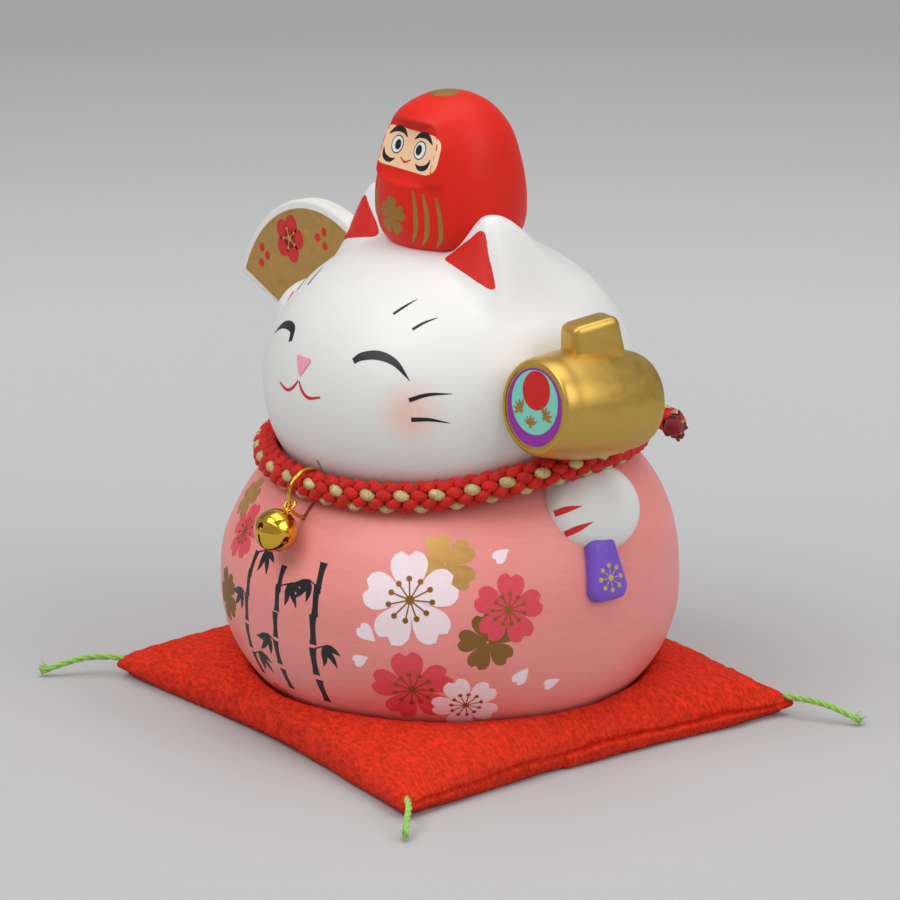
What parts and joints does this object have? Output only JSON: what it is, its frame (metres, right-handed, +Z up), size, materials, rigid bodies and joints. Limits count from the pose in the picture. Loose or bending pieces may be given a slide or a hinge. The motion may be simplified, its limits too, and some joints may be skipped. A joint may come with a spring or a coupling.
{
  "type": "beckoning cat figurine",
  "caption": "Round hollow ceramic cat with a raised paw, a fan, a mallet, a doll on its head, a braided collar and a slotted bell, set on a padded cloth cushion.",
  "frame": {"origin": "on the table, under the middle of the cushion", "axes": "+Z up; the cat faces -Y; +X is the cat's own left, the side with the mallet"},
  "size_m": [0.157, 0.151, 0.157],
  "materials": {
    "white_glaze": "satin",
    "pink_glaze": "satin",
    "red_glaze": "satin",
    "gold_paint": "satin",
    "purple_paint": "satin",
    "red_crepe": "matte",
    "wadding": "matte",
    "red_cord": "matte",
    "dark_thread": "matte",
    "green_thread": "matte",
    "brass": "polished",
    "steel": "satin",
    "plug_plastic": "matte"
  },
  "bodies": {
    "root": {"cushion_cover": "red_crepe", "cushion_fill": "wadding", "tassel_front_left": "green_thread", "tassel_front_right": "green_thread", "tassel_back_left": "green_thread", "tassel_back_right": "green_thread"},
    "cat": {"body_shell": "pink_glaze", "head_shell": "white_glaze", "left_arm": "white_glaze", "right_arm": "white_glaze", "daruma_doll": "red_glaze", "mallet_drum": "gold_paint", "mallet_handle_top": "gold_paint", "mallet_grip": "purple_paint", "fan_leaf": "gold_paint", "collar_cord": "red_cord", "collar_knot": "red_cord", "collar_tail_left": "red_cord", "collar_tail_right": "red_cord", "tail_tuft_left": "dark_thread", "tail_tuft_right": "dark_thread"},
    "stopper": {"base_stopper": "plug_plastic"},
    "ring": {"bell_ring": "brass"},
    "bell": {"bell_eye": "brass", "bell_cup": "brass"},
    "pellet": {"bell_pellet": "steel"}
  },
  "joints": [
    {"name": "cat_lift", "type": "slide", "parent": "root", "child": "cat", "axis": [0, 0, 1], "range_m": [0, 0.06]},
    {"name": "stopper_pull", "type": "slide", "parent": "cat", "child": "stopper", "axis": [0, 0, -1], "range_m": [0, 0.03]},
    {"name": "ring_swing", "type": "hinge", "parent": "cat", "child": "ring", "pos_m": [0.00476, -0.04525, 0.06442], "axis": [-0.9945, -0.1045, 0], "range_deg": [0, 50]},
    {"name": "bell_swing", "type": "hinge", "parent": "ring", "child": "bell", "pos_m": [0.00552, -0.05251, 0.06191], "axis": [0.0796, -0.7574, 0.6481], "range_deg": [-20, 20]},
    {"name": "pellet_hop", "type": "slide", "parent": "bell", "child": "pellet", "axis": [0, 0, 1], "range_m": [0, 0.003]}
  ],
  "couplings": [
    {"joint": "stopper_pull", "follows": "cat_lift", "ratio": 0.5}
  ]
}
